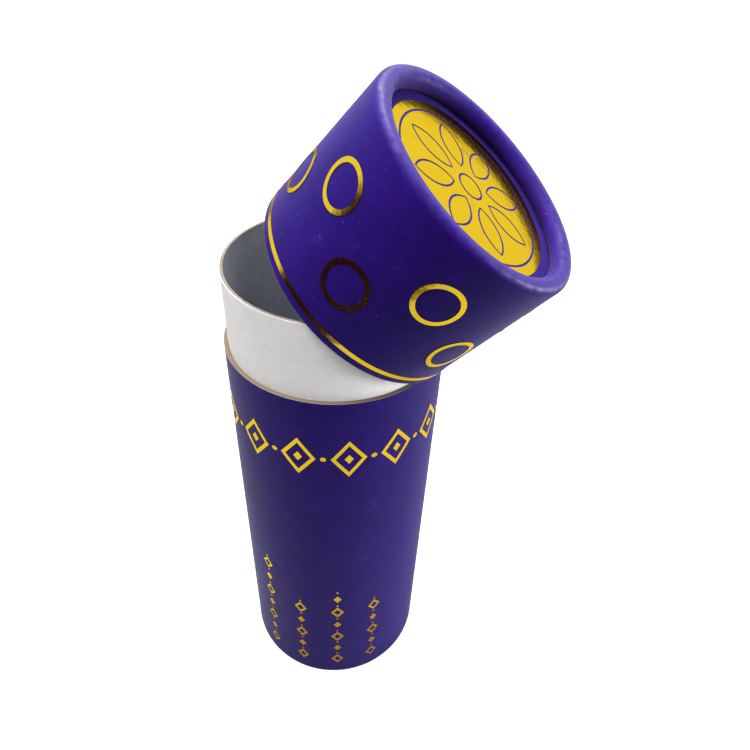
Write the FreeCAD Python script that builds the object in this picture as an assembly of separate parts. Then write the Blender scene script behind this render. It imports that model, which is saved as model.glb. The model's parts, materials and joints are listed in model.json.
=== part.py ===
"""Cylindrical gift tube box of wound board, with its lid taken off and leaned on the neck.

The origin is the centre of the foot, +Z runs up the base tube, and the lid leans towards +X.
"""
import FreeCAD, Part
import math
import os

from FreeCAD import Placement, Rotation, Vector

os.makedirs("parts", exist_ok=True)

# Driving dimensions of the closed box, in millimetres
outer_diameter = 75.0
base_height = 167.0
neck_rise = 27.5
lid_height = 50.5

# Boards, papers and glue
lid_board = 0.55
neck_board = 0.55
disc_board = 1.5
wrap_paper = 0.15
lining_paper = 0.1
glue_line = 0.1
slide_clearance = 0.5

# Rolled rim of the lid's top and of the foot: it turns in over the rim and rolls down on to the sunk disc
bead_corner = 2.2
bead_flat = 0.8
recess_depth = 5.6
roll_end = 1.0

# Wrap seam at the back, where the two edges of the printed sheet meet
seam_gap = 0.12
base_seam_angle = 109.0
lid_seam_angle = 91.0

# Foil on the lid: a line round the mouth, two staggered rows of rings, a medallion on top
foil_film = 0.06
line_height = 3.0
line_width = 1.5
ring_radius = 7.15
ring_stroke = 1.45
low_ring_height = 18.0
high_ring_height = 32.6
ring_pairs = 6
first_ring_angle = -103.6
medallion_margin = 2.5
medallion_line = 0.7
medallion_border = 3.0
petal_count = 8
petal_gap = 2.4
petal_half_width = 4.1
centre_radius = 3.9

# Lean of the lid: its mouth rests on the neck's rim, and its low side hangs past the base
lid_tilt = 39.5
lean_overhang = 1.0
lean_gap = 0.15

# Radii worked out from the outside in
outer_radius = outer_diameter / 2
board_radius = outer_radius - wrap_paper - glue_line
lid_board_bore = board_radius - lid_board
lid_bore = lid_board_bore - glue_line - lining_paper
neck_radius = lid_bore - slide_clearance
base_bore = neck_radius + glue_line
neck_board_radius = neck_radius - wrap_paper - glue_line
neck_board_bore = neck_board_radius - neck_board
tube_bore = neck_board_bore - glue_line - lining_paper

# Width of the rolled rim, whose roll is as high as the disc is sunk
bead_width = bead_corner + bead_flat + recess_depth / 2

# Heights in the base, from the foot up
wrap_and_glue = wrap_paper + glue_line
disc_underside = recess_depth + wrap_and_glue
floor_height = disc_underside + disc_board
floor_top = floor_height + glue_line + lining_paper
neck_top = base_height + neck_rise

# Heights in the lid, from its mouth up
facing_top = lid_height - recess_depth
lid_disc_top = facing_top - wrap_and_glue
lid_disc_underside = lid_disc_top - disc_board
roof_height = lid_disc_underside - glue_line - lining_paper

# Radii of the medallion, from its rim in
medallion_radius = outer_radius - bead_width - medallion_margin
border_bore = medallion_radius - medallion_border
field_radius = border_bore - medallion_line
field_bore = centre_radius + medallion_line
petal_tip = field_radius - petal_gap
petal_root = field_bore + petal_gap

full_turn = 360.0
half_corner = math.radians(45)
vertical = Vector(0, 0, 1)


def section_point(radius, height):
    """Point of a section that is turned about the tube's axis."""
    return Vector(radius, 0, height)


def line(start, end):
    return Part.makeLine(section_point(*start), section_point(*end))


def corner_arc(centre, radius, up):
    """Quarter arc round the rim's outer corner, from the wall to the rim."""
    middle = radius * math.cos(half_corner)
    wall = section_point(centre[0] + radius, centre[1])
    slant = section_point(centre[0] + middle, centre[1] + up * middle)
    rim = section_point(centre[0], centre[1] + up * radius)
    return Part.Arc(wall, slant, rim).toShape()


def roll_arc(centre, radius):
    """Half arc round the inner side of the roll, from the rim to the disc."""
    above = section_point(centre[0], centre[1] + radius)
    inside = section_point(centre[0] - radius, centre[1])
    below = section_point(centre[0], centre[1] - radius)
    return Part.Arc(above, inside, below).toShape()


def turned(edges, seam_angle=None):
    """Solid of revolution of a section; with a seam angle, a hairline slit is left there."""
    face = Part.Face(Part.Wire(Part.__sortEdges__(edges)))
    if seam_angle is None:
        return face.revolve(Vector(), vertical, full_turn)
    slit = math.degrees(seam_gap / outer_radius)
    sheet = face.revolve(Vector(), vertical, full_turn - slit)
    sheet.rotate(Vector(), vertical, seam_angle + slit / 2)
    return sheet


def rolled_sheet(radius, thickness, open_end, rim, corner, depth):
    """Section of a sheet that follows the wall, turns in over the rim, rolls down and ends flat on the disc."""
    up = math.copysign(1, rim - open_end)
    roll = depth / 2
    roll_radius = radius - corner - bead_flat
    roll_tip = roll_radius + roll_end
    level = rim - up * corner
    under_rim = rim - up * thickness
    seat = rim - up * depth
    over_seat = seat + up * thickness
    corner_centre = (radius - corner, level)
    roll_centre = (roll_radius, rim - up * roll)
    return [
        line((radius - thickness, open_end), (radius, open_end)),
        line((radius, open_end), (radius, level)),
        corner_arc(corner_centre, corner, up),
        line((radius - corner, rim), (roll_radius, rim)),
        roll_arc(roll_centre, roll),
        line((roll_radius, seat), (roll_tip, seat)),
        line((roll_tip, seat), (roll_tip, over_seat)),
        line((roll_tip, over_seat), (roll_radius, over_seat)),
        roll_arc(roll_centre, roll - thickness),
        line((roll_radius, under_rim), (radius - corner, under_rim)),
        corner_arc(corner_centre, corner - thickness, up),
        line((radius - thickness, level), (radius - thickness, open_end)),
    ]


def rolled_board(thickness, open_end, rim):
    """Wound tube whose end is rolled inwards, under the wrap."""
    board_rim = rim - math.copysign(wrap_and_glue, rim - open_end)
    corner = bead_corner - wrap_and_glue
    depth = recess_depth - 2 * wrap_and_glue
    return turned(rolled_sheet(board_radius, thickness, open_end, board_rim, corner, depth))


def rolled_wrap(open_end, rim, seam_angle):
    """Printed paper round a tube, rolled in with its rim."""
    return turned(rolled_sheet(
        outer_radius, wrap_paper, open_end, rim, bead_corner, recess_depth), seam_angle)


def sleeve(radius, bore, low, high, seam_angle=None):
    """Straight tube between two heights."""
    return turned([
        line((bore, low), (radius, low)),
        line((radius, low), (radius, high)),
        line((radius, high), (bore, high)),
        line((bore, high), (bore, low)),
    ], seam_angle)


def disc(radius, low, thickness):
    return Part.makeCylinder(radius, thickness, section_point(0, low))


def base_pieces():
    """Base tube with its foot, and the inner tube that stands out of it as the neck."""
    seat = base_bore - glue_line
    return {
        "base_tube": rolled_board(board_radius - base_bore, base_height, 0),
        "base_wrap": rolled_wrap(base_height, 0, base_seam_angle),
        "base_disc_facing": disc(seat, recess_depth, wrap_paper),
        "base_disc": disc(seat, disc_underside, disc_board),
        "neck_wrap": sleeve(neck_radius, neck_radius - wrap_paper, floor_top, neck_top, base_seam_angle),
        "neck_tube": sleeve(neck_board_radius, neck_board_bore, floor_top, neck_top),
        "neck_lining": sleeve(neck_board_bore - glue_line, tube_bore, floor_top, neck_top),
        "floor_lining": disc(seat, floor_top - lining_paper, lining_paper),
    }


def lid_pieces():
    """Lid shell, standing on its mouth, with its top disc and linings."""
    seat = lid_board_bore - glue_line
    return {
        "lid_tube": rolled_board(lid_board, 0, lid_height),
        "lid_wrap": rolled_wrap(0, lid_height, lid_seam_angle),
        "lid_disc_facing": disc(seat, facing_top - wrap_paper, wrap_paper),
        "lid_disc": disc(seat, lid_disc_underside, disc_board),
        "lid_roof_lining": disc(lid_bore - glue_line, roof_height, lining_paper),
        "lid_lining": sleeve(seat, lid_bore, 0, lid_disc_underside - glue_line),
    }


def wall_film(low, high):
    """Foil film round the lid's wall between two heights."""
    inside = outer_radius + glue_line
    return sleeve(inside + foil_film, inside, low, high)


def foil_line():
    return wall_film(line_height - line_width / 2, line_height + line_width / 2)


def foil_ring(height):
    """One ring, pressed on the wall at +X."""
    start = section_point(outer_radius - ring_radius, height)
    reach = 2 * ring_radius
    across = Vector(1, 0, 0)
    outline = Part.makeCylinder(ring_radius, reach, start, across)
    hole = Part.makeCylinder(ring_radius - ring_stroke, reach, start, across)
    film = wall_film(height - 2 * ring_radius, height + 2 * ring_radius)
    return film.common(outline.cut(hole))


def foil_rings():
    """Two staggered rows of rings, evenly spaced round the lid."""
    step = full_turn / (2 * ring_pairs)
    rings = []
    for index in range(2 * ring_pairs):
        ring = foil_ring(high_ring_height if index % 2 else low_ring_height)
        ring.rotate(Vector(), vertical, first_ring_angle + index * step)
        rings.append(ring.Solids[0])
    return Part.makeCompound(rings)


def petal(inset):
    """Pointed petal along +X, drawn in from its outline by an inset."""
    root = Vector(petal_root + inset, 0, 0)
    tip = Vector(petal_tip - inset, 0, 0)
    side = Vector(0, petal_half_width - inset, 0)
    middle = (root + tip) / 2
    outline = Part.Wire([
        Part.Arc(root, middle + side, tip).toShape(),
        Part.Arc(tip, middle - side, root).toShape(),
    ])
    return Part.Face(outline).extrude(Vector(0, 0, foil_film))


def foil_medallion():
    """Round foil with a rosette left open in lines: a border, a ring of petals and a centre."""
    def film(radius):
        return disc(radius, 0, foil_film)

    border = film(medallion_radius).cut(film(border_bore))
    field = film(field_radius).cut(film(field_bore))
    islands = []
    for index in range(petal_count):
        angle = index * full_turn / petal_count
        opening = petal(0)
        island = petal(medallion_line)
        opening.rotate(Vector(), vertical, angle)
        island.rotate(Vector(), vertical, angle)
        field = field.cut(opening)
        islands.append(island)
    rosette = Part.makeCompound([border.Solids[0], field.Solids[0], film(centre_radius)] + islands)
    rosette.translate(section_point(0, facing_top + glue_line))
    return rosette


def lean_placement():
    """Where the lid rests: its mouth edge bears on the neck's rim at the front and the back."""
    tilt = math.radians(lid_tilt)
    reach = lid_bore - lean_gap
    mouth_x = outer_radius + lean_overhang - lid_bore * math.cos(tilt)
    slant = mouth_x / math.sin(tilt)
    hook = math.sqrt(slant ** 2 + reach ** 2 - neck_radius ** 2) - slant * math.cos(tilt)
    return Placement(section_point(mouth_x, neck_top - hook), Rotation(Vector(0, 1, 0), lid_tilt))


def main():
    lid = lid_pieces()
    lid["lid_foil_line"] = foil_line()
    lid["lid_foil_rings"] = foil_rings()
    lid["lid_foil_medallion"] = foil_medallion()
    lean = lean_placement()
    for shape in lid.values():
        shape.transformShape(lean.Matrix)
    for name, shape in {**base_pieces(), **lid}.items():
        shape.exportStep(f"parts/{name}.step")


main()
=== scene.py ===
"""Looks of a cylindrical gift tube box: printed wrap, foil, papers, boards and a plain studio."""
import json
import math

import bpy
from bpy.props import FloatProperty, FloatVectorProperty, IntProperty, IntVectorProperty, PointerProperty
from mathutils import Matrix, Vector


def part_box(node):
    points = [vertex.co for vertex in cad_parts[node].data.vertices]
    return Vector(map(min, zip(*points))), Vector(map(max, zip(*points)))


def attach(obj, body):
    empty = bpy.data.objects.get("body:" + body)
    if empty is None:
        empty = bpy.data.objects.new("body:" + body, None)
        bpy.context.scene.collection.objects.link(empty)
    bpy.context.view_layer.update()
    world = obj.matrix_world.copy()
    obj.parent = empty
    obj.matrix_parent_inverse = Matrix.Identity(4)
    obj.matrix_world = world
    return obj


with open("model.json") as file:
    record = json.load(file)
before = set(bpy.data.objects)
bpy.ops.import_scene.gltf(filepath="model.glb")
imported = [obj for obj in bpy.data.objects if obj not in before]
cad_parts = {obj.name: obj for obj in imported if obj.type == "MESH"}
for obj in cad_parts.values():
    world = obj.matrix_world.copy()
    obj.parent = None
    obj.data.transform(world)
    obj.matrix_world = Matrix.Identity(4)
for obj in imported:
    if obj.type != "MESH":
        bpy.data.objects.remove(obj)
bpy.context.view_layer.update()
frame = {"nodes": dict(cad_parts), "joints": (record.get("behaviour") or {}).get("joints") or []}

bl_info = {
    "name": "Gift Tube Box",
    "version": (1, 0, 0),
    "blender": (4, 5, 0),
    "location": "3D View > Sidebar > Gift Tube",
    "description": "Dresses a gift tube box with printed paper, foil, linings and board edges",
    "category": "Object",
}

MM = 0.001

# Sizes and places read from the frame, in metres
WALL_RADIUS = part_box("base_wrap")[1].x
SHOULDER_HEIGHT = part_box("base_wrap")[1].z
LID_AXIS = Vector(frame["joints"][0]["axis"])
LID_TILT = math.atan2(LID_AXIS.x, LID_AXIS.z)


def lid_mouth():
    """Centre of the lid's mouth, worked out from the box of its lining, which is a plain sleeve."""
    low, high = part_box("lid_lining")
    size = high - low
    length = (size.x - size.y * math.cos(LID_TILT)) / math.sin(LID_TILT)
    return (low + high) / 2 - LID_AXIS * length / 2


def lid_height(mouth):
    """Height of the lid's rim above its mouth, along the lid's own axis."""
    corners = frame["nodes"]["lid_wrap"].data.vertices
    return max((corner.co - mouth).dot(LID_AXIS) for corner in corners)


LID_MOUTH = lid_mouth()
LID_HEIGHT = lid_height(LID_MOUTH)

# What lies this close to a tube's open end is its cut edge
CUT_DEPTH = 0.01 * MM

# A noise's middle value, and stretches of its value that a finish spreads over its whole scale
NOISE_MIDDLE = 0.5
NARROW_NOISE = (0.3, 0.7)
HALF_NOISE = (0.25, 0.75)
WIDE_NOISE = (0.2, 0.8)

# Specks: scale beside the tooth's, where they fade in towards a cell's middle, and how many cells stay plain
SPECK_SCALE = 0.16
SPECK_FADE = (0.075, 0.045)
SPECK_CHANCE = 0.62

# Hair-like scuffs: scale beside the clouds', where they fade in towards a ridge, and clouds that hold them
SCUFF_SCALE = 2.2
SCUFF_FADE = (0.006, 0.0)
SCUFF_CLOUDS = (0.60, 0.72)

# Rubbed edges: how strongly the grain breaks them up, and where they fade in
WEAR_BREAK = 1.2
WEAR_FADE = (0.3, 1.1)

# Shares of the clouds, the waves and the tooth in the mottled print
PRINT_CLOUD_SHARE = 0.40
PRINT_WAVE_SHARE = 0.35
PRINT_TOOTH_SHARE = 0.25

# Plain papers: dim clouds beside the full tone, where the clouds fade in, specks, and a coarser tooth
NECK_DIM = 0.95
LINING_DIM = 0.88
PAPER_CLOUDS = (0.75, 1.25)
PAPER_SPECK_SHARE = 0.25
PAPER_TOOTH = 1.3

# Wound board: how far its plies wander, how sharply they change, their share beside fibres, a finer tooth
PLY_WANDER = 6.0
PLY_FADE = (-0.6, 0.6)
PLY_SHARE = 0.65
BOARD_TOOTH = 0.8

# Foil: clouds where it is thin, and how much of the tooth shows in its relief
FOIL_CLOUDS = (0.60, 0.80)
FOIL_TOOTH_SHARE = 0.25

# Roughness of each finish, from its smoothest to its roughest places
FILM_ROUGHNESS = (0.48, 0.62)
PAPER_ROUGHNESS = (0.62, 0.82)
BOARD_ROUGHNESS = (0.75, 0.92)
FOIL_ROUGHNESS = (0.10, 0.20)

# Roughness that is even all over
POLISH_ROUGHNESS = 0.42
SHEEN_ROUGHNESS = 0.4
FLOOR_ROUGHNESS = 0.85

# Gloss of the matt film and of uncoated paper
FILM_GLOSS = 0.08
PAPER_GLOSS = 0.35

# Relief of each finish: its depth in metres, and its strength
FILM_RELIEF = (0.03 * MM, 0.8)
PAPER_RELIEF = (0.04 * MM, 0.6)
BOARD_RELIEF = (0.05 * MM, 0.7)
FOIL_RELIEF = (0.05 * MM, 1.0)

# Foil motifs: sides, cuts that let them bend, and insets beside a lozenge's width or a dot's radius
LOZENGE_SIDES = 4
DOT_SIDES = 24
LINE_CUTS = 7
FILL_CUTS = 3
FILL_INSET_SHARE = 0.125
DOT_INSET_SHARE = 0.5

# Full lozenge in an open one, and a string's full lozenges, lines and dots, beside their plain sizes
CENTRE_SHARE = 0.25
STRING_FILL_SHARE = 0.62
STRING_STROKE_SHARE = 0.75
STRING_DOT_SHARE = 0.45

# Where a motif is pressed on the wall, as an angle round the tube
FRONT_ANGLE = math.radians(-90)

# Floor, in metres: it ends a little in front of the box, and the foil mirrors the dark beyond that edge
FLOOR_WIDTH = 6.0
FLOOR_FRONT = -0.275
FLOOR_BACK = 3.0

# Clouds in the floor's tone: how many to a metre, and how dim they are
FLOOR_CLOUD_SCALE = 6.0
FLOOR_DIM = 0.985

# Room: which way its white wall lies, where wall and ceiling fade in, the ceiling's light, the backdrop
WALL_TOWARDS = Vector((-0.57, 0.81, 0.09)).normalized()
WALL_FADE = (0.24, 0.42)
CEILING_FADE = (0.35, 0.75)
CEILING_SHARE = 0.5
BACKDROP = (1.0, 1.0, 1.0, 1.0)

# Softboxes, in metres: the point that they face, and each one's middle, with its width and depth
LIGHT_TARGET = Vector((0.0, 0.0, 0.20))
SOFTBOXES = {
    "top_softbox": (Vector((-0.18, -0.06, 1.10)), (0.60, 0.60)),
    "front_softbox": (Vector((0.14, -0.58, 0.84)), (0.70, 0.70)),
    "rim_softbox": (Vector((-0.06, 0.58, 0.87)), (0.60, 0.26)),
    "right_softbox": (Vector((0.95, 0.28, 0.17)), (0.60, 0.30)),
}

# Width of the camera's sensor, in millimetres
SENSOR_WIDTH = 36.0


class PaperSettings(bpy.types.PropertyGroup):
    """Finishes of the papers and boards."""

    print_colour: FloatVectorProperty(
        name="Print", description="Purple of the printed wrap",
        subtype="COLOR", size=3, min=0, max=1, default=(0.0180, 0.0030, 0.156))
    print_deep: FloatVectorProperty(
        name="Deep print", description="Darker purple that clouds the print",
        subtype="COLOR", size=3, min=0, max=1, default=(0.0105, 0.0018, 0.091))
    scuff_colour: FloatVectorProperty(
        name="Scuff", description="Pale purple where the print is rubbed",
        subtype="COLOR", size=3, min=0, max=1, default=(0.20, 0.14, 0.45))
    # Pale purple along the rolled rim: a painted highlight on its crest, partly print stretched pale there
    rim_highlight_and_stretch_colour: FloatVectorProperty(
        name="Rolled rim", description="Print that is stretched pale over the rolled rim",
        subtype="COLOR", size=3, min=0, max=1, default=(0.085, 0.045, 0.27))
    core_colour: FloatVectorProperty(
        name="Paper core", description="Cut edge of the printed paper",
        subtype="COLOR", size=3, min=0, max=1, default=(0.40, 0.33, 0.33))
    neck_colour: FloatVectorProperty(
        name="Neck", description="White of the paper round the neck",
        subtype="COLOR", size=3, min=0, max=1, default=(0.84, 0.84, 0.83))
    lining_colour: FloatVectorProperty(
        name="Lining", description="Slate grey of the inner papers",
        subtype="COLOR", size=3, min=0, max=1, default=(0.37, 0.387, 0.435))
    board_colour: FloatVectorProperty(
        name="Board", description="Pale plies of the raw board",
        subtype="COLOR", size=3, min=0, max=1, default=(0.235, 0.175, 0.105))
    board_dark: FloatVectorProperty(
        name="Dark board", description="Brown plies of the raw board",
        subtype="COLOR", size=3, min=0, max=1, default=(0.13, 0.08, 0.045))
    # How much of the rim's painted highlight and stretched print shows
    rim_highlight_and_stretch: FloatProperty(
        name="Stretch", description="How much of the rolled rim's pale print shows",
        subtype="FACTOR", min=0, max=1, default=0.06)
    scuff: FloatProperty(
        name="Scuffs", description="How pale the specks and scuffs are",
        subtype="FACTOR", min=0, max=1, default=0.5)
    fray: FloatProperty(
        name="Fray", description="How pale the print is along its cut edge",
        subtype="FACTOR", min=0, max=1, default=0.15)
    polish: FloatProperty(
        name="Polish", description="Shine of the film along the rim's crest",
        subtype="FACTOR", min=0, max=1, default=0.34)
    sheen: FloatProperty(
        name="Sheen", description="Haze of the matt film at a low angle",
        subtype="FACTOR", min=0, max=1, default=0.06)
    tooth_size: FloatProperty(
        name="Tooth", description="Size of the paper's fine grain",
        subtype="DISTANCE", unit="LENGTH", min=0.05 * MM, default=0.45 * MM)
    cloud_size: FloatProperty(
        name="Clouds", description="Size of the soft clouds in the print",
        subtype="DISTANCE", unit="LENGTH", min=MM, default=9 * MM)
    wave_size: FloatProperty(
        name="Waves", description="Size of the slow waves in a glued paper or foil",
        subtype="DISTANCE", unit="LENGTH", min=0.2 * MM, default=2.4 * MM)
    polish_reach: FloatProperty(
        name="Polish reach", description="How far from the rim's crest the film is rubbed to a shine",
        subtype="DISTANCE", unit="LENGTH", min=0.1 * MM, default=1.4 * MM)
    # Reach of the painted highlight and stretched print from the rolled rim
    rim_reach: FloatProperty(
        name="Rim reach", description="How far the stretched print runs from the rolled rim",
        subtype="DISTANCE", unit="LENGTH", min=0.1 * MM, default=2.6 * MM)
    edge_reach: FloatProperty(
        name="Edge reach", description="How far the rubbed print runs from a cut edge",
        subtype="DISTANCE", unit="LENGTH", min=0.05 * MM, default=0.5 * MM)
    ply_thickness: FloatProperty(
        name="Ply", description="Thickness of one ply of the wound board",
        subtype="DISTANCE", unit="LENGTH", min=0.05 * MM, default=0.28 * MM)


class FoilSettings(bpy.types.PropertyGroup):
    """Gold foil and the motifs pressed on the base."""

    colour: FloatVectorProperty(
        name="Gold", description="Colour of the foil",
        subtype="COLOR", size=3, min=0, max=1, default=(0.87, 0.60, 0.030))
    # Warm gold for thin places in the foil, also the painted shade low on the base
    warm_and_shaded_colour: FloatVectorProperty(
        name="Warm gold", description="Thin places in the foil",
        subtype="COLOR", size=3, min=0, max=1, default=(0.66, 0.34, 0.030))
    glance_colour: FloatVectorProperty(
        name="Glance", description="Tint of the foil seen at a low angle",
        subtype="COLOR", size=3, min=0, max=1, default=(1.0, 0.88, 0.48))
    # Painted shade: below this height the base's foil turns warmer and darker, for the dim floor it mirrors
    painted_shade_height: FloatProperty(
        name="Thin height", description="Height above the foot from which the base's foil thins downwards",
        subtype="DISTANCE", unit="LENGTH", min=MM, default=71.5 * MM)
    film: FloatProperty(
        name="Film", description="Thickness of the foil",
        subtype="DISTANCE", unit="LENGTH", default=0.06 * MM)
    bed: FloatProperty(
        name="Bed", description="Space from the wrap to the foil",
        subtype="DISTANCE", unit="LENGTH", default=0.02 * MM)
    band_height: FloatProperty(
        name="Band height", description="Height of the band's middle above the foot",
        subtype="DISTANCE", unit="LENGTH", default=143 * MM)
    band_count: IntProperty(
        name="Band motifs", description="Lozenges round the band", min=3, max=40, default=14)
    lozenge_width: FloatProperty(
        name="Lozenge width", description="Width of a lozenge of the band",
        subtype="DISTANCE", unit="LENGTH", default=12 * MM)
    lozenge_height: FloatProperty(
        name="Lozenge height", description="Height of a lozenge of the band",
        subtype="DISTANCE", unit="LENGTH", default=16.5 * MM)
    stroke: FloatProperty(
        name="Stroke", description="Width of a lozenge's line",
        subtype="DISTANCE", unit="LENGTH", default=1.3 * MM)
    dot_radius: FloatProperty(
        name="Dot", description="Radius of the dots between the lozenges",
        subtype="DISTANCE", unit="LENGTH", default=1.0 * MM)
    string_counts: IntVectorProperty(
        name="Strings", description="Lozenges in each upright string",
        size=4, min=1, max=12, default=(7, 5, 6, 5))
    string_foot: FloatProperty(
        name="String foot", description="Height of the strings' lowest lozenge above the foot",
        subtype="DISTANCE", unit="LENGTH", default=13 * MM)
    string_pitch: FloatProperty(
        name="String pitch", description="Space from lozenge to lozenge up a string",
        subtype="DISTANCE", unit="LENGTH", default=9.6 * MM)
    string_width: FloatProperty(
        name="String width", description="Width of a string's lozenges",
        subtype="DISTANCE", unit="LENGTH", default=5.4 * MM)
    string_start: FloatProperty(
        name="String start", description="Angle of the first string round the tube",
        subtype="ANGLE", unit="ROTATION", default=math.radians(-117.5))
    string_step: FloatProperty(
        name="String step", description="Angle from string to string",
        subtype="ANGLE", unit="ROTATION", default=math.radians(23.8))


class StageSettings(bpy.types.PropertyGroup):
    """Camera, floor and lights."""

    camera_place: FloatVectorProperty(
        name="Camera", description="Place of the camera",
        subtype="TRANSLATION", unit="LENGTH", size=3, default=(58.784 * MM, -170.357 * MM, 297.375 * MM))
    camera_yaw: FloatProperty(
        name="Yaw", description="Turn of the camera to its left",
        subtype="ANGLE", unit="ROTATION", default=math.radians(14.512))
    camera_pitch: FloatProperty(
        name="Pitch", description="Slope of the camera's view below level",
        subtype="ANGLE", unit="ROTATION", default=math.radians(39.708))
    camera_roll: FloatProperty(
        name="Roll", description="Roll of the camera about its view",
        subtype="ANGLE", unit="ROTATION", default=math.radians(2.835))
    lens: FloatProperty(
        name="Lens", description="Focal length in millimetres",
        subtype="DISTANCE_CAMERA", unit="CAMERA", min=10, max=200, default=31.109)
    floor_colour: FloatVectorProperty(
        name="Floor", description="Pale floor",
        subtype="COLOR", size=3, min=0, max=1, default=(0.33, 0.33, 0.33))
    floor_glow: FloatProperty(
        name="Floor glow", description="Light of the floor's own, as on a light table", min=0, default=0.86)
    sky_colour: FloatVectorProperty(
        name="Room", description="Light of the white room",
        subtype="COLOR", size=3, min=0, max=1, default=(1.0, 1.0, 1.0))
    dark_colour: FloatVectorProperty(
        name="Dark side", description="Unlit side of the room that the foil mirrors",
        subtype="COLOR", size=3, min=0, max=1, default=(0.020, 0.004, 0.012))
    room_strength: FloatProperty(
        name="Room light", description="Strength of the light from the room", min=0, default=0.95)
    top_power: FloatProperty(
        name="Top light", description="Power of the softbox overhead",
        subtype="POWER", unit="POWER", default=16.0)
    front_power: FloatProperty(
        name="Front light", description="Power of the softbox above the camera",
        subtype="POWER", unit="POWER", default=3.9)
    rim_power: FloatProperty(
        name="Rim light", description="Power of the softbox above the back, which draws the rolled rim",
        subtype="POWER", unit="POWER", default=11.0)
    right_power: FloatProperty(
        name="Right light", description="Power of the softbox low at the right",
        subtype="POWER", unit="POWER", default=12.0)


class GiftTubeSettings(bpy.types.PropertyGroup):
    """All settings of the box."""

    paper: PointerProperty(type=PaperSettings, name="Paper", description="Finishes of the papers and boards")
    foil: PointerProperty(type=FoilSettings, name="Foil", description="Gold foil")
    stage: PointerProperty(type=StageSettings, name="Stage", description="Camera, floor and lights")


def settings(context):
    """The box's settings in the scene."""
    return context.scene.gift_tube


def put(tree, kind, inputs=None, **options):
    """Adds a shader node, sets its options, and fills its inputs with values or other nodes' outputs."""
    node = tree.nodes.new(kind)
    for name, value in options.items():
        setattr(node, name, value)
    for name, value in (inputs or {}).items():
        if isinstance(value, bpy.types.NodeSocket):
            tree.links.new(value, node.inputs[name])
        else:
            node.inputs[name].default_value = value
    return node


def maths(tree, operation, first, second=0.0):
    """Result of one operation on two values."""
    return put(tree, "ShaderNodeMath", {0: first, 1: second}, operation=operation).outputs[0]


def mixture(tree, *parts):
    """Sum of values, each times its share."""
    total, *others = [maths(tree, "MULTIPLY", value, share) for value, share in parts]
    for other in others:
        total = maths(tree, "ADD", total, other)
    return total


def remap(tree, value, span, onto=(0.0, 1.0)):
    """Smooth step of a value, from one span onto another."""
    return put(tree, "ShaderNodeMapRange", {
        "Value": value, "From Min": span[0], "From Max": span[1], "To Min": onto[0], "To Max": onto[1],
    }, interpolation_type="SMOOTHSTEP").outputs["Result"]


def mix_colour(tree, share, first, second):
    """Colour between two, nearer to the second as the share grows."""
    return put(tree, "ShaderNodeMix", {0: share, 6: first, 7: second}, data_type="RGBA").outputs[2]


def opaque(colour, tone=1.0):
    """Colour for a socket, at its full tone or dimmed."""
    return (*(channel * tone for channel in colour), 1.0)


def new_group(name, inputs, outputs):
    """Empty shader group with named sockets; returns the group, its inputs' node and its outputs' node."""
    group = bpy.data.node_groups.new(name, "ShaderNodeTree")
    for socket, kind in inputs.items():
        group.interface.new_socket(socket, in_out="INPUT", socket_type=kind)
    for socket, kind in outputs.items():
        group.interface.new_socket(socket, in_out="OUTPUT", socket_type=kind)
    return group, put(group, "NodeGroupInput"), put(group, "NodeGroupOutput")


def paper_grain_group():
    """Grain of a paper: fine tooth, slow waves, soft clouds, sparse bright specks and hair-like scuffs."""
    name = "paper_grain"
    if name in bpy.data.node_groups:
        return bpy.data.node_groups[name]
    group, given, made = new_group(name, {
        "Vector": "NodeSocketVector", "Tooth Size": "NodeSocketFloat", "Wave Size": "NodeSocketFloat",
        "Cloud Size": "NodeSocketFloat",
    }, {
        "Tooth": "NodeSocketFloat", "Waves": "NodeSocketFloat", "Clouds": "NodeSocketFloat",
        "Specks": "NodeSocketFloat", "Scuffs": "NodeSocketFloat",
    })
    place = given.outputs["Vector"]

    def noise(scale, **values):
        """Value of one noise at a scale."""
        return put(group, "ShaderNodeTexNoise", {"Vector": place, "Scale": scale, **values}).outputs["Fac"]

    fine = maths(group, "DIVIDE", 1.0, given.outputs["Tooth Size"])
    middle = maths(group, "DIVIDE", 1.0, given.outputs["Wave Size"])
    coarse = maths(group, "DIVIDE", 1.0, given.outputs["Cloud Size"])
    clouds = noise(coarse, Detail=4.0, Roughness=0.55)
    cells = put(group, "ShaderNodeTexVoronoi", {
        "Vector": place, "Scale": maths(group, "MULTIPLY", fine, SPECK_SCALE)})
    spot = remap(group, cells.outputs["Distance"], SPECK_FADE)
    chance = put(group, "ShaderNodeSeparateColor", {"Color": cells.outputs["Color"]}).outputs["Red"]
    bent = noise(maths(group, "MULTIPLY", coarse, SCUFF_SCALE), Detail=2.0, Distortion=1.6)
    ridge = maths(group, "ABSOLUTE", maths(group, "SUBTRACT", bent, NOISE_MIDDLE))
    hair = remap(group, ridge, SCUFF_FADE)
    results = {
        "Tooth": noise(fine, Detail=3.0, Roughness=0.6),
        "Waves": noise(middle, Detail=1.0, Roughness=0.4),
        "Clouds": clouds,
        "Specks": maths(group, "MULTIPLY", spot, maths(group, "GREATER_THAN", chance, SPECK_CHANCE)),
        "Scuffs": maths(group, "MULTIPLY", hair, remap(group, clouds, SCUFF_CLOUDS)),
    }
    for socket, value in results.items():
        group.links.new(value, made.inputs[socket])
    return group


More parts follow.
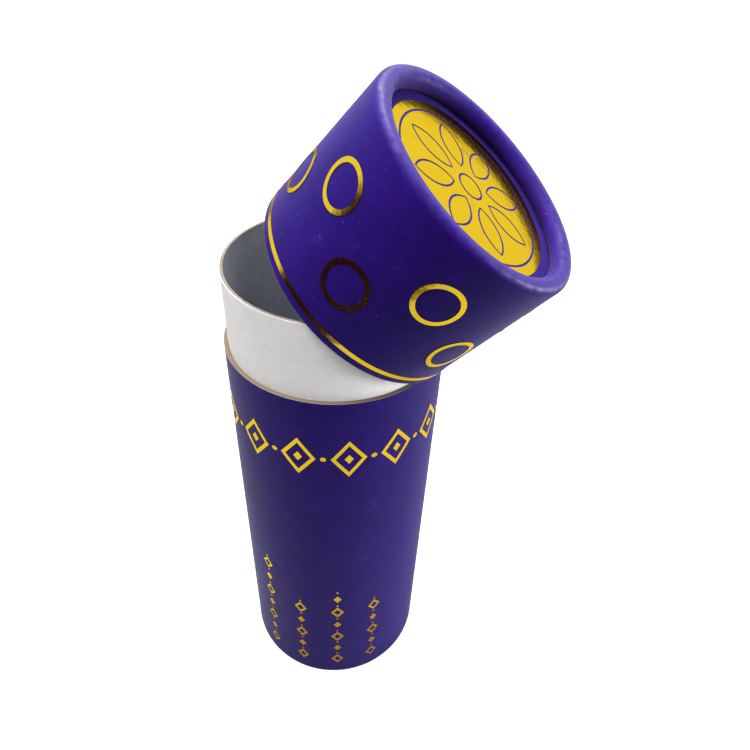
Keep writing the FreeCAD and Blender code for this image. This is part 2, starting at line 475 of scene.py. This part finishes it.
def edge_wear_group():
    """Rubbed edge: a mask that is full at a height along the tube and breaks up away from it."""
    name = "edge_wear"
    if name in bpy.data.node_groups:
        return bpy.data.node_groups[name]
    group, given, made = new_group(name, {
        "Height": "NodeSocketFloat", "Edge": "NodeSocketFloat", "Reach": "NodeSocketFloat",
        "Break": "NodeSocketFloat",
    }, {"Mask": "NodeSocketFloat"})
    away = maths(group, "ABSOLUTE", maths(group, "SUBTRACT", given.outputs["Height"], given.outputs["Edge"]))
    near = maths(group, "SUBTRACT", 1.0, maths(group, "DIVIDE", away, given.outputs["Reach"]))
    near = maths(group, "MAXIMUM", near, 0.0)
    uneven = maths(group, "SUBTRACT", given.outputs["Break"], NOISE_MIDDLE)
    worn = maths(group, "ADD", near, maths(group, "MULTIPLY", uneven, WEAR_BREAK))
    group.links.new(remap(group, worn, WEAR_FADE), made.inputs["Mask"])
    return group


def new_material(name):
    """New material, with its node tree and its shader."""
    material = bpy.data.materials.new(name)
    material.use_nodes = True
    tree = material.node_tree
    return material, tree, tree.nodes["Principled BSDF"]


def body_coordinates(tree, on_lid):
    """Place on the piece with +Z along the tube: the base as it stands, or the lid from its mouth up."""
    given = put(tree, "ShaderNodeTexCoord").outputs["Object"]
    if not on_lid:
        return given
    return put(tree, "ShaderNodeMapping", {
        "Vector": given, "Location": LID_MOUTH, "Rotation": (0.0, LID_TILT, 0.0),
    }, vector_type="TEXTURE").outputs["Vector"]


def paper_grain(tree, place, paper, coarser=1.0):
    """Outputs of the paper's grain in one material."""
    return put(tree, "ShaderNodeGroup", {
        "Vector": place, "Tooth Size": paper.tooth_size * coarser, "Wave Size": paper.wave_size,
        "Cloud Size": paper.cloud_size,
    }, node_tree=paper_grain_group()).outputs


def edge_wear(tree, height, edge, reach, breaks):
    """Mask of a rubbed edge in one material."""
    return put(tree, "ShaderNodeGroup", {
        "Height": height, "Edge": edge, "Reach": reach, "Break": breaks,
    }, node_tree=edge_wear_group()).outputs["Mask"]


def rolled_rim(on_lid):
    """Height of the rolled rim's crest: the lid's top, or the base's foot."""
    return LID_HEIGHT if on_lid else 0.0


def open_end(on_lid):
    """Height of the cut edge: the lid's mouth, or the base's shoulder."""
    return 0.0 if on_lid else SHOULDER_HEIGHT


def cut_face(tree, height, on_lid):
    """Mask of the cut edge of a tube or its wrap."""
    if on_lid:
        return maths(tree, "LESS_THAN", height, open_end(on_lid) + CUT_DEPTH)
    return maths(tree, "GREATER_THAN", height, open_end(on_lid) - CUT_DEPTH)


def roughen(tree, shader, noise, span, roughness):
    """Makes a finish smoother and rougher with its grain."""
    tree.links.new(remap(tree, noise, span, roughness), shader.inputs["Roughness"])


def emboss(tree, shader, height, relief):
    """Gives a finish its relief."""
    depth, strength = relief
    bump = put(tree, "ShaderNodeBump", {"Height": height, "Distance": depth, "Strength": strength})
    tree.links.new(bump.outputs["Normal"], shader.inputs["Normal"])


def printed_colour(tree, paper, grain, height, on_lid):
    """Clouded purple, paler where it is rubbed and along its cut edge, with a painted highlight over the
    rolled rim that is partly print stretched pale.
    """
    mottle = mixture(
        tree,
        (remap(tree, grain["Clouds"], NARROW_NOISE), PRINT_CLOUD_SHARE),
        (remap(tree, grain["Waves"], NARROW_NOISE), PRINT_WAVE_SHARE),
        (remap(tree, grain["Tooth"], NARROW_NOISE), PRINT_TOOTH_SHARE))
    colour = mix_colour(tree, mottle, opaque(paper.print_deep), opaque(paper.print_colour))
    # Painted highlight along the rolled rim's crest, partly print stretched pale there
    stretched_and_highlit = edge_wear(tree, height, rolled_rim(on_lid), paper.rim_reach, grain["Tooth"])
    stretched_and_highlit = maths(tree, "MULTIPLY", stretched_and_highlit, paper.rim_highlight_and_stretch)
    colour = mix_colour(tree, stretched_and_highlit, colour, opaque(paper.rim_highlight_and_stretch_colour))
    scuffed = maths(tree, "MAXIMUM", grain["Specks"], grain["Scuffs"])
    scuffed = maths(tree, "MULTIPLY", scuffed, paper.scuff)
    frayed = edge_wear(tree, height, open_end(on_lid), paper.edge_reach, grain["Clouds"])
    frayed = maths(tree, "MULTIPLY", frayed, paper.fray)
    rubbed = maths(tree, "MAXIMUM", scuffed, frayed)
    colour = mix_colour(tree, rubbed, colour, opaque(paper.scuff_colour))
    return mix_colour(tree, cut_face(tree, height, on_lid), colour, opaque(paper.core_colour))


def printed_paper(name, paper, on_lid):
    """Purple print under a matt film, which is rubbed to a shine along the crest of the rolled rim."""
    material, tree, shader = new_material(name)
    place = body_coordinates(tree, on_lid)
    grain = paper_grain(tree, place, paper)
    height = put(tree, "ShaderNodeSeparateXYZ", {"Vector": place}).outputs["Z"]
    tree.links.new(printed_colour(tree, paper, grain, height, on_lid), shader.inputs["Base Color"])
    roughen(tree, shader, grain["Tooth"], HALF_NOISE, FILM_ROUGHNESS)
    emboss(tree, shader, grain["Tooth"], FILM_RELIEF)
    polished = edge_wear(tree, height, rolled_rim(on_lid), paper.polish_reach, grain["Waves"])
    tree.links.new(maths(tree, "MULTIPLY", polished, paper.polish), shader.inputs["Coat Weight"])
    shader.inputs["Coat Roughness"].default_value = POLISH_ROUGHNESS
    shader.inputs["Specular IOR Level"].default_value = FILM_GLOSS
    shader.inputs["Sheen Weight"].default_value = paper.sheen
    shader.inputs["Sheen Roughness"].default_value = SHEEN_ROUGHNESS
    return material


def plain_paper(name, paper, colour, dim, on_lid):
    """Uncoated paper: soft clouds in its tone and a fibrous tooth."""
    material, tree, shader = new_material(name)
    place = body_coordinates(tree, on_lid)
    grain = paper_grain(tree, place, paper, PAPER_TOOTH)
    cloud = remap(tree, maths(tree, "ADD", grain["Clouds"], grain["Waves"]), PAPER_CLOUDS)
    tone = mix_colour(tree, cloud, opaque(colour, dim), opaque(colour))
    specks = maths(tree, "MULTIPLY", grain["Specks"], PAPER_SPECK_SHARE)
    tone = mix_colour(tree, specks, tone, opaque(colour, dim))
    tree.links.new(tone, shader.inputs["Base Color"])
    roughen(tree, shader, grain["Tooth"], WIDE_NOISE, PAPER_ROUGHNESS)
    emboss(tree, shader, grain["Tooth"], PAPER_RELIEF)
    shader.inputs["Specular IOR Level"].default_value = PAPER_GLOSS
    return material


def raw_board(name, paper, on_lid, wrapped):
    """Wound board: fibres, and plies that are rings on a cut edge; elsewhere a wrapped one is purple."""
    material, tree, shader = new_material(name)
    place = body_coordinates(tree, on_lid)
    grain = paper_grain(tree, place, paper, BOARD_TOOTH)
    axes = put(tree, "ShaderNodeSeparateXYZ", {"Vector": place}).outputs
    flat = put(tree, "ShaderNodeCombineXYZ", {"X": axes["X"], "Y": axes["Y"]}).outputs["Vector"]
    radius = put(tree, "ShaderNodeVectorMath", {0: flat}, operation="LENGTH").outputs["Value"]
    turns = mixture(tree, (radius, 2 * math.pi / paper.ply_thickness), (grain["Waves"], PLY_WANDER))
    tint = mixture(
        tree,
        (remap(tree, maths(tree, "SINE", turns), PLY_FADE), PLY_SHARE),
        (remap(tree, grain["Tooth"], NARROW_NOISE), 1 - PLY_SHARE))
    tone = mix_colour(tree, tint, opaque(paper.board_dark), opaque(paper.board_colour))
    if wrapped:
        tone = mix_colour(tree, cut_face(tree, axes["Z"], on_lid), opaque(paper.print_deep), tone)
    tree.links.new(tone, shader.inputs["Base Color"])
    roughen(tree, shader, grain["Tooth"], WIDE_NOISE, BOARD_ROUGHNESS)
    emboss(tree, shader, tint, BOARD_RELIEF)
    return material


def gold_foil(name, box, on_lid):
    """Hot-stamped foil: a bright film that takes up the paper's tooth and waves, with painted shade that
    makes it warmer and darker low on the base.
    """
    foil = box.foil
    material, tree, shader = new_material(name)
    place = body_coordinates(tree, on_lid)
    grain = paper_grain(tree, place, box.paper)
    thin_and_low_shade = remap(tree, grain["Clouds"], FOIL_CLOUDS)
    # Painted shade: the base's foil turns warmer and darker towards its foot, where it mirrors the dim floor
    if not on_lid:
        height = put(tree, "ShaderNodeSeparateXYZ", {"Vector": place}).outputs["Z"]
        low = remap(tree, height, (foil.painted_shade_height, foil.painted_shade_height / 2))
        thin_and_low_shade = maths(tree, "MAXIMUM", thin_and_low_shade, low)
    colour = mix_colour(tree, thin_and_low_shade, opaque(foil.colour), opaque(foil.warm_and_shaded_colour))
    tree.links.new(colour, shader.inputs["Base Color"])
    roughen(tree, shader, grain["Tooth"], WIDE_NOISE, FOIL_ROUGHNESS)
    shader.inputs["Metallic"].default_value = 1.0
    shader.inputs["Specular Tint"].default_value = opaque(foil.glance_colour)
    tooth = maths(tree, "MULTIPLY", grain["Tooth"], FOIL_TOOTH_SHARE)
    emboss(tree, shader, maths(tree, "ADD", grain["Waves"], tooth), FOIL_RELIEF)
    return material


def base_gold(box):
    """Finish that the foil pieces on the base share."""
    name = "base_gold"
    return bpy.data.materials.get(name) or gold_foil(name, box, False)


def dress(material, *nodes):
    """Gives CAD nodes a finish in their own material slots."""
    for name in nodes:
        frame["nodes"][name].material_slots[0].material = material


def select_only(*objects):
    """Selects these objects and makes the last one active."""
    bpy.ops.object.select_all(action="DESELECT")
    for item in objects:
        item.select_set(True)
        bpy.context.view_layer.objects.active = item


def apply_modifier(piece, kind, **options):
    """Adds a modifier with its options and applies it."""
    modifier = piece.modifiers.new(kind.title(), kind)
    for name, value in options.items():
        setattr(modifier, name, value)
    select_only(piece)
    bpy.ops.object.modifier_apply(modifier=modifier.name)


def start_motif(sides, half_width, half_height, middle):
    """Flat motif that faces -Y, drawn from a circle with few or many sides, in edit mode and selected."""
    bpy.ops.object.select_all(action="DESELECT")
    bpy.ops.mesh.primitive_circle_add(
        vertices=sides, radius=1.0, fill_type="NGON", rotation=(math.pi / 2, 0.0, 0.0))
    motif = bpy.context.object
    motif.scale = (half_width, half_height, 1.0)
    motif.location = (middle[0], 0.0, middle[1])
    bpy.ops.object.transform_apply()
    bpy.ops.object.mode_set(mode="EDIT")
    bpy.ops.mesh.select_all(action="SELECT")
    return motif


def lozenge_line(width, height, stroke, middle=(0.0, 0.0)):
    """Open lozenge with a line of even width."""
    motif = start_motif(LOZENGE_SIDES, width / 2, height / 2, middle)
    bpy.ops.mesh.inset(thickness=stroke, use_even_offset=True)
    bpy.ops.mesh.delete(type="FACE")
    bpy.ops.mesh.select_all(action="SELECT")
    bpy.ops.mesh.subdivide(number_cuts=LINE_CUTS)
    bpy.ops.object.mode_set(mode="OBJECT")
    return motif


def lozenge_fill(width, height, middle=(0.0, 0.0)):
    """Full lozenge, inset and cut so that it bends with the wall."""
    motif = start_motif(LOZENGE_SIDES, width / 2, height / 2, middle)
    bpy.ops.mesh.inset(thickness=width * FILL_INSET_SHARE, use_even_offset=True)
    bpy.ops.mesh.select_all(action="SELECT")
    bpy.ops.mesh.subdivide(number_cuts=FILL_CUTS)
    bpy.ops.object.mode_set(mode="OBJECT")
    return motif


def dot(radius, middle):
    """Small round dot."""
    motif = start_motif(DOT_SIDES, radius, radius, middle)
    bpy.ops.mesh.inset(thickness=radius * DOT_INSET_SHARE)
    bpy.ops.object.mode_set(mode="OBJECT")
    return motif


def join(pieces, name):
    """Makes one named object of several."""
    select_only(*pieces)
    if len(pieces) > 1:
        bpy.ops.object.join()
    piece = bpy.context.object
    piece.name = name
    piece.data.name = name
    return piece


def press_on_wall(motif, foil, height):
    """Bends a flat motif to the tube's wall, at the front, and gives it the film's thickness."""
    radius = WALL_RADIUS + foil.bed
    width = motif.dimensions.x
    apply_modifier(motif, "SIMPLE_DEFORM", deform_method="BEND", deform_axis="Z", angle=width / radius)
    apply_modifier(motif, "SOLIDIFY", thickness=foil.film, offset=1.0)
    motif.location = (0.0, -radius, height)
    select_only(motif)
    bpy.ops.object.transform_apply()


def turn_round(motif, angle):
    """Turns a motif about the tube's axis."""
    select_only(motif)
    motif.rotation_euler.z = angle
    bpy.ops.object.transform_apply()


def copy_round(motif, angle):
    """Copy of a motif, turned about the tube's axis."""
    select_only(motif)
    bpy.ops.object.duplicate()
    copy = bpy.context.object
    turn_round(copy, angle)
    return copy


def lozenge_string(foil, count):
    """Upright string: open and full lozenges by turns, with a dot over each."""
    width = foil.string_width
    height = width * foil.lozenge_height / foil.lozenge_width
    pieces = []
    for index in range(count):
        level = index * foil.string_pitch
        if index % 2:
            pieces.append(lozenge_fill(width * STRING_FILL_SHARE, height * STRING_FILL_SHARE, (0.0, level)))
        else:
            pieces.append(lozenge_line(width, height, foil.stroke * STRING_STROKE_SHARE, (0.0, level)))
        pieces.append(dot(foil.dot_radius * STRING_DOT_SHARE, (0.0, level + foil.string_pitch / 2)))
    return join(pieces, "base_foil_string")


def lay_floor(stage):
    """Pale sheet from a little in front of the box to far behind it; only the camera sees it glow."""
    bpy.ops.object.select_all(action="DESELECT")
    bpy.ops.mesh.primitive_plane_add(size=1.0)
    floor = bpy.context.object
    floor.name = "floor"
    floor.scale = (FLOOR_WIDTH, FLOOR_BACK - FLOOR_FRONT, 1.0)
    floor.location = (0.0, (FLOOR_BACK + FLOOR_FRONT) / 2, 0.0)
    bpy.ops.object.transform_apply()
    material, tree, shader = new_material("floor_paper")
    place = put(tree, "ShaderNodeTexCoord").outputs["Object"]
    clouds = put(tree, "ShaderNodeTexNoise", {"Vector": place, "Scale": FLOOR_CLOUD_SCALE, "Detail": 2.0})
    tone = remap(tree, clouds.outputs["Fac"], NARROW_NOISE)
    colour = mix_colour(tree, tone, opaque(stage.floor_colour, FLOOR_DIM), opaque(stage.floor_colour))
    tree.links.new(colour, shader.inputs["Base Color"])
    shader.inputs["Roughness"].default_value = FLOOR_ROUGHNESS
    shader.inputs["Emission Color"].default_value = opaque(stage.sky_colour)
    seen = put(tree, "ShaderNodeLightPath").outputs["Is Camera Ray"]
    tree.links.new(maths(tree, "MULTIPLY", seen, stage.floor_glow), shader.inputs["Emission Strength"])
    floor.data.materials.append(material)


def light_room(context, stage):
    """White wall behind and at the left, a dim ceiling and a dark front; the camera sees all white."""
    world = bpy.data.worlds.new("room")
    world.use_nodes = True
    context.scene.world = world
    tree = world.node_tree
    background = tree.nodes["Background"]
    direction = put(tree, "ShaderNodeTexCoord").outputs["Generated"]
    facing = put(tree, "ShaderNodeVectorMath", {0: direction, 1: WALL_TOWARDS}, operation="DOT_PRODUCT")
    wall = remap(tree, facing.outputs["Value"], WALL_FADE)
    height = put(tree, "ShaderNodeSeparateXYZ", {"Vector": direction}).outputs["Z"]
    ceiling = remap(tree, height, CEILING_FADE, (0.0, CEILING_SHARE))
    lit = maths(tree, "MAXIMUM", wall, ceiling)
    room = mix_colour(tree, lit, opaque(stage.dark_colour), opaque(stage.sky_colour))
    seen = put(tree, "ShaderNodeLightPath").outputs["Is Camera Ray"]
    tree.links.new(mix_colour(tree, seen, room, BACKDROP), background.inputs["Color"])
    tree.links.new(maths(tree, "MAXIMUM", seen, stage.room_strength), background.inputs["Strength"])


def hang_softbox(name, power):
    """Rectangular softbox that faces the middle of the part."""
    place, spread = SOFTBOXES[name]
    turn = (LIGHT_TARGET - place).to_track_quat("-Z", "Y").to_euler()
    bpy.ops.object.light_add(type="AREA", location=place, rotation=turn)
    lamp = bpy.context.object
    lamp.name = name
    lamp.data.name = name
    lamp.data.shape = "RECTANGLE"
    lamp.data.size, lamp.data.size_y = spread
    lamp.data.energy = power


def place_camera(context, stage):
    """Camera at the picture's place, slope and roll."""
    bpy.ops.object.camera_add()
    camera = bpy.context.object
    camera.name = "camera"
    camera.data.lens = stage.lens
    camera.data.sensor_width = SENSOR_WIDTH
    camera.data.clip_start = MM
    turn = Matrix.Rotation(stage.camera_yaw, 4, "Z")
    slope = Matrix.Rotation(math.pi / 2 - stage.camera_pitch, 4, "X")
    roll = Matrix.Rotation(stage.camera_roll, 4, "Z")
    camera.matrix_world = Matrix.Translation(stage.camera_place) @ turn @ slope @ roll
    context.scene.camera = camera


class GIFTTUBE_OT_wrap(bpy.types.Operator):
    """Finishes the printed papers of the base and the lid"""

    bl_idname = "gift_tube.wrap"
    bl_label = "Printed Wrap"

    def execute(self, context):
        paper = settings(context).paper
        dress(printed_paper("base_print", paper, False), "base_wrap", "base_disc_facing")
        dress(printed_paper("lid_print", paper, True), "lid_wrap", "lid_disc_facing")
        return {"FINISHED"}


class GIFTTUBE_OT_neck(bpy.types.Operator):
    """Finishes the white paper round the neck"""

    bl_idname = "gift_tube.neck"
    bl_label = "Neck Paper"

    def execute(self, context):
        paper = settings(context).paper
        dress(plain_paper("neck_paper", paper, paper.neck_colour, NECK_DIM, False), "neck_wrap")
        return {"FINISHED"}


class GIFTTUBE_OT_linings(bpy.types.Operator):
    """Finishes the grey papers inside the base and the lid"""

    bl_idname = "gift_tube.linings"
    bl_label = "Linings"

    def execute(self, context):
        paper = settings(context).paper
        grey = paper.lining_colour
        dress(plain_paper("base_lining", paper, grey, LINING_DIM, False), "neck_lining", "floor_lining")
        dress(plain_paper("lid_lining", paper, grey, LINING_DIM, True), "lid_lining", "lid_roof_lining")
        return {"FINISHED"}


class GIFTTUBE_OT_boards(bpy.types.Operator):
    """Finishes the wound board tubes and the discs"""

    bl_idname = "gift_tube.boards"
    bl_label = "Boards"

    def execute(self, context):
        paper = settings(context).paper
        dress(raw_board("neck_board", paper, False, False), "neck_tube", "base_disc")
        dress(raw_board("base_board", paper, False, True), "base_tube")
        dress(raw_board("lid_board", paper, True, True), "lid_tube")
        dress(raw_board("lid_disc_board", paper, True, False), "lid_disc")
        return {"FINISHED"}


class GIFTTUBE_OT_lid_foil(bpy.types.Operator):
    """Finishes the line, the rings and the medallion on the lid"""

    bl_idname = "gift_tube.lid_foil"
    bl_label = "Lid Foil"

    def execute(self, context):
        gold = gold_foil("lid_gold", settings(context), True)
        dress(gold, "lid_foil_line", "lid_foil_rings", "lid_foil_medallion")
        return {"FINISHED"}


class GIFTTUBE_OT_base_foil(bpy.types.Operator):
    """Models the band of lozenges round the upper part of the base"""

    bl_idname = "gift_tube.base_foil"
    bl_label = "Base Foil"

    def execute(self, context):
        box = settings(context)
        foil = box.foil
        width = foil.lozenge_width
        height = foil.lozenge_height
        step = 2 * math.pi / foil.band_count
        half_pitch = WALL_RADIUS * step / 2
        unit = join([
            lozenge_line(width, height, foil.stroke),
            lozenge_fill(width * CENTRE_SHARE, height * CENTRE_SHARE),
            dot(foil.dot_radius, (half_pitch, 0.0)),
            dot(foil.dot_radius, (-half_pitch, 0.0)),
        ], "base_foil_unit")
        press_on_wall(unit, foil, foil.band_height)
        copies = [copy_round(unit, index * step) for index in range(foil.band_count)]
        bpy.data.objects.remove(unit)
        band = join(copies, "base_foil_band")
        band.data.materials.append(base_gold(box))
        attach(band, "base")
        return {"FINISHED"}


class GIFTTUBE_OT_base_strings(bpy.types.Operator):
    """Models the upright strings of small lozenges low on the front of the base"""

    bl_idname = "gift_tube.base_strings"
    bl_label = "Base Strings"

    def execute(self, context):
        box = settings(context)
        foil = box.foil
        strings = []
        for index, count in enumerate(foil.string_counts):
            string = lozenge_string(foil, count)
            press_on_wall(string, foil, foil.string_foot)
            turn_round(string, foil.string_start + index * foil.string_step - FRONT_ANGLE)
            strings.append(string)
        group = join(strings, "base_foil_strings")
        group.data.materials.append(base_gold(box))
        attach(group, "base")
        return {"FINISHED"}


class GIFTTUBE_OT_stage(bpy.types.Operator):
    """Sets up the floor, the room, the lights and the camera"""

    bl_idname = "gift_tube.stage"
    bl_label = "Studio"

    def execute(self, context):
        stage = settings(context).stage
        lay_floor(stage)
        light_room(context, stage)
        hang_softbox("top_softbox", stage.top_power)
        hang_softbox("front_softbox", stage.front_power)
        hang_softbox("rim_softbox", stage.rim_power)
        hang_softbox("right_softbox", stage.right_power)
        place_camera(context, stage)
        context.scene.view_settings.view_transform = "Standard"
        return {"FINISHED"}


class GIFTTUBE_PT_sidebar(bpy.types.Panel):
    """Steps and settings of the box"""

    bl_idname = "GIFTTUBE_PT_sidebar"
    bl_label = "Gift Tube Box"
    bl_space_type = "VIEW_3D"
    bl_region_type = "UI"
    bl_category = "Gift Tube"

    def draw(self, context):
        layout = self.layout
        for operator in OPERATORS:
            layout.operator(operator.bl_idname)
        box = settings(context)
        for group in (box.paper, box.foil, box.stage):
            column = layout.column(align=True)
            for name in group.__annotations__:
                column.prop(group, name)


OPERATORS = (
    GIFTTUBE_OT_wrap,
    GIFTTUBE_OT_neck,
    GIFTTUBE_OT_linings,
    GIFTTUBE_OT_boards,
    GIFTTUBE_OT_lid_foil,
    GIFTTUBE_OT_base_foil,
    GIFTTUBE_OT_base_strings,
    GIFTTUBE_OT_stage,
)
CLASSES = (PaperSettings, FoilSettings, StageSettings, GiftTubeSettings, *OPERATORS, GIFTTUBE_PT_sidebar)


def register():
    """Adds the classes and the box's settings."""
    for item in CLASSES:
        bpy.utils.register_class(item)
    bpy.types.Scene.gift_tube = PointerProperty(
        type=GiftTubeSettings, name="Gift tube", description="Settings of the gift tube box")


def unregister():
    """Takes the settings and the classes away again."""
    del bpy.types.Scene.gift_tube
    for item in reversed(CLASSES):
        bpy.utils.unregister_class(item)


def main():
    """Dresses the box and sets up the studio."""
    register()
    bpy.ops.gift_tube.wrap()
    bpy.ops.gift_tube.neck()
    bpy.ops.gift_tube.linings()
    bpy.ops.gift_tube.boards()
    bpy.ops.gift_tube.lid_foil()
    bpy.ops.gift_tube.base_foil()
    bpy.ops.gift_tube.base_strings()
    bpy.ops.gift_tube.stage()


if __name__ == "__main__":
    main()
